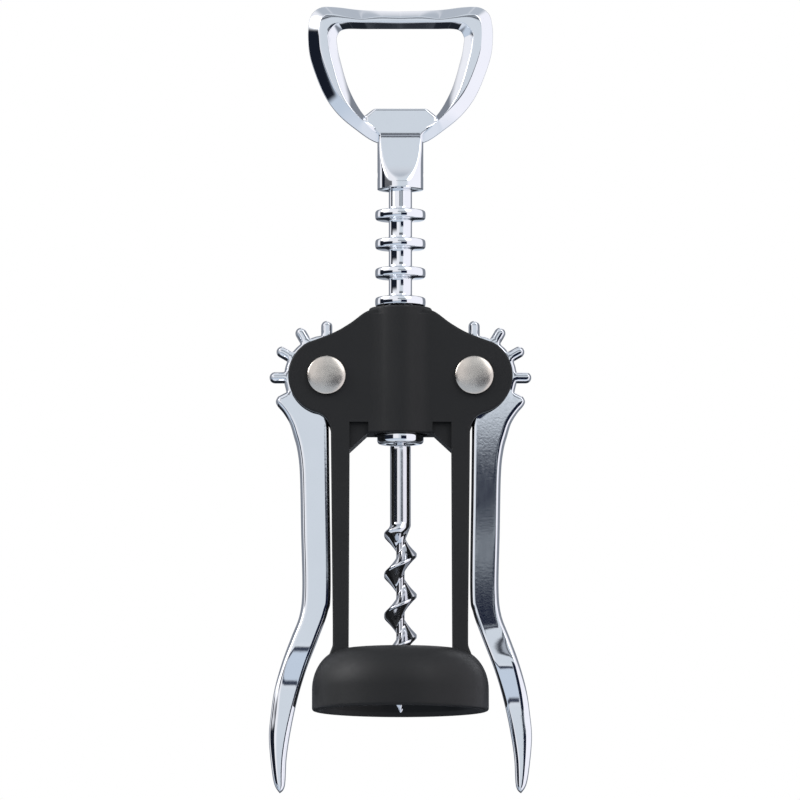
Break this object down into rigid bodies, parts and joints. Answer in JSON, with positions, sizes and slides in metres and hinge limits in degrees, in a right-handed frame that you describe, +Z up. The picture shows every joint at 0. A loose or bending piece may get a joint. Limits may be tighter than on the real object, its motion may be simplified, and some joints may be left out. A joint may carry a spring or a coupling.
{
  "type": "lever corkscrew",
  "caption": "Lever corkscrew: moulded frame with a bell that sits on a bottle, two geared levers that drive a ring-toothed spindle with a worm, and a loop handle with a cap lifter.",
  "frame": {"origin": "on the worm's axis, in the plane of the bell's rim, where the bottle's mouth enters", "axes": "+Z up along the worm's axis to the handle, +X from the left lever's pivot to the right one's, front faces -Y"},
  "size_m": [0.0618, 0.0416, 0.1867],
  "materials": {
    "black_nylon": "fine matte moulded",
    "chrome": "polished plating",
    "satin_nickel": "satin",
    "bright_steel": "bright"
  },
  "bodies": {
    "frame": {"frame": "black_nylon", "left_rivet_pin": "satin_nickel", "left_rivet_cap": "satin_nickel", "right_rivet_pin": "satin_nickel", "right_rivet_cap": "satin_nickel"},
    "collar": {"end_washer": "chrome"},
    "spindle": {"rack": "chrome", "handle": "chrome", "handle_pin": "bright_steel", "worm": "bright_steel", "worm_pin": "bright_steel"},
    "left_lever": {"left_lever": "chrome", "left_front_washer": "bright_steel", "left_rear_washer": "bright_steel"},
    "right_lever": {"right_lever": "chrome", "right_front_washer": "bright_steel", "right_rear_washer": "bright_steel"}
  },
  "joints": [
    {"name": "rack_travel", "type": "slide", "parent": "frame", "child": "collar", "axis": [0, 0, -1], "range_m": [0, 0.03455]},
    {"name": "handle_spin", "type": "hinge", "parent": "collar", "child": "spindle", "pos_m": [0, 0, 0.0639], "axis": [0, 0, 1], "continuous": true},
    {"name": "left_lever_swing", "type": "hinge", "parent": "frame", "child": "left_lever", "pos_m": [-0.0174, 0, 0.0788], "axis": [0, 1, 0], "range_deg": [0, 150]},
    {"name": "right_lever_swing", "type": "hinge", "parent": "frame", "child": "right_lever", "pos_m": [0.0174, 0, 0.0788], "axis": [0, -1, 0], "range_deg": [0, 150]}
  ],
  "couplings": [
    {"joint": "left_lever_swing", "follows": "rack_travel", "rad_per_m": 75.758},
    {"joint": "right_lever_swing", "follows": "rack_travel", "rad_per_m": 75.758}
  ]
}
